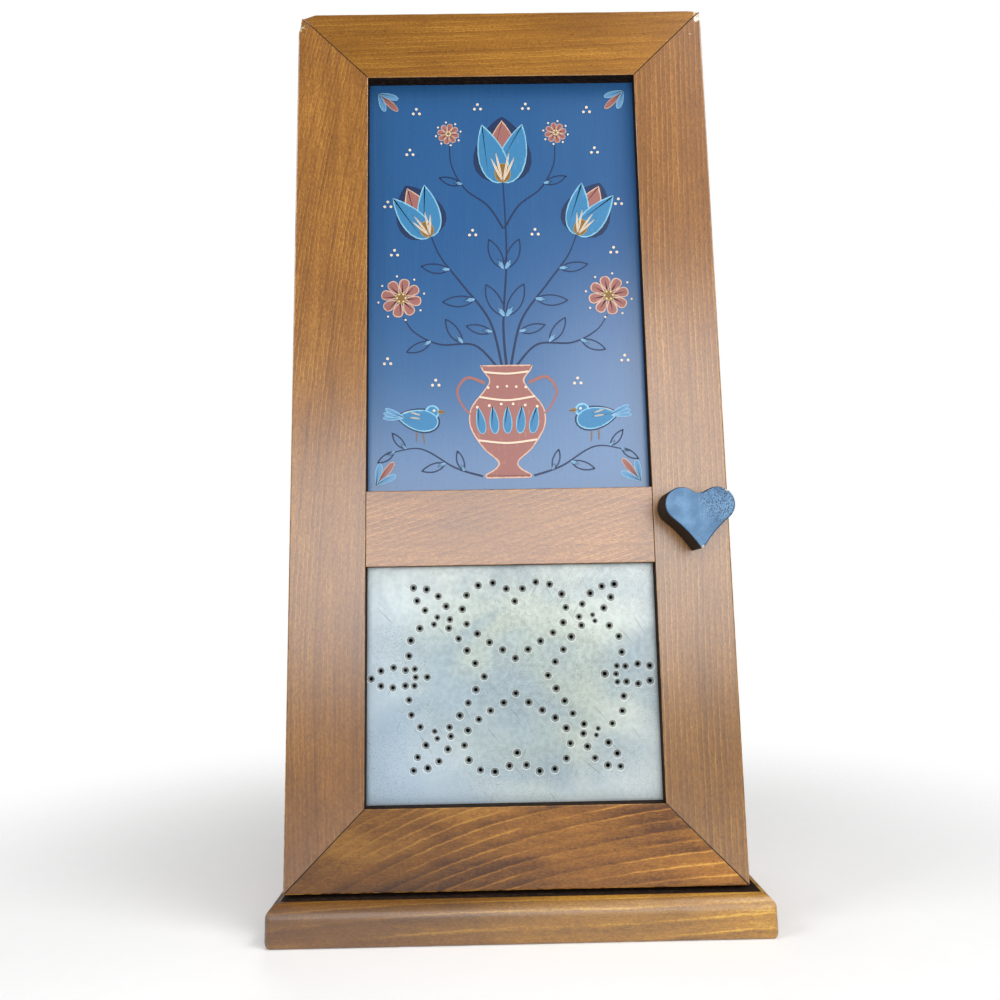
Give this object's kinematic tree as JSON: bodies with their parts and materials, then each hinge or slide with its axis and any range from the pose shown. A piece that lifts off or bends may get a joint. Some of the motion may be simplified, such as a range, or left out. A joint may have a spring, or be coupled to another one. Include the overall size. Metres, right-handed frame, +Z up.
{
  "type": "countertop cabinet",
  "caption": "Slim free-standing wooden cabinet with one mitred door that holds a painted panel over a punched-tin panel.",
  "frame": {"origin": "centre of the base board's underside, where the cabinet stands", "axes": "+Z up, the door faces -Y, +X to the viewer's right"},
  "size_m": [0.3964, 0.2342, 0.7965],
  "materials": {
    "pine": "satin stained pine",
    "pine_end": "satin stained pine",
    "plywood": "raw",
    "blue_paint": "matte paint on thin plywood",
    "knob_paint": "worn matte paint",
    "tin": "dull tin plate",
    "hinge_brass": "aged",
    "steel": "bright",
    "catch_plastic": "matte",
    "magnet": "matte"
  },
  "bodies": {
    "case": {"plinth_base": "pine_end", "left_side": "pine", "right_side": "pine", "back_panel": "plywood", "hanging_rail": "pine", "case_nails": "steel", "back_panel_nails": "steel", "plinth_screws": "steel", "catch_housing": "catch_plastic", "catch_magnet": "magnet", "catch_poles": "steel", "catch_screws": "steel", "case_hinge_screws": "hinge_brass", "bottom_panel": "pine", "lower_shelf": "pine", "upper_shelf": "pine", "top_panel": "pine", "lower_hinge_case_leaf": "hinge_brass", "lower_hinge_pin": "hinge_brass", "upper_hinge_case_leaf": "hinge_brass", "upper_hinge_pin": "hinge_brass"},
    "door": {"door_stile_left": "pine", "door_stile_right": "pine", "door_top_rail": "pine", "door_bottom_rail": "pine", "door_mid_rail": "pine", "mitre_keys": "pine", "painted_panel": "blue_paint", "tin_panel": "tin", "stop_nails": "steel", "heart_knob": "knob_paint", "knob_screw": "steel", "door_hinge_screws": "hinge_brass", "strike_plate": "steel", "strike_screw": "steel", "painted_panel_stop_left": "pine", "painted_panel_stop_right": "pine", "painted_panel_stop_top": "pine", "painted_panel_stop_bottom": "pine", "tin_panel_stop_left": "pine", "tin_panel_stop_right": "pine", "tin_panel_stop_top": "pine", "tin_panel_stop_bottom": "pine", "lower_hinge_door_leaf": "hinge_brass", "upper_hinge_door_leaf": "hinge_brass"}
  },
  "joints": [
    {"name": "door_swing", "type": "hinge", "parent": "case", "child": "door", "pos_m": [-0.18665, -0.07555, 0.4155], "axis": [0, 0, -1], "range_deg": [0, 180]}
  ]
}
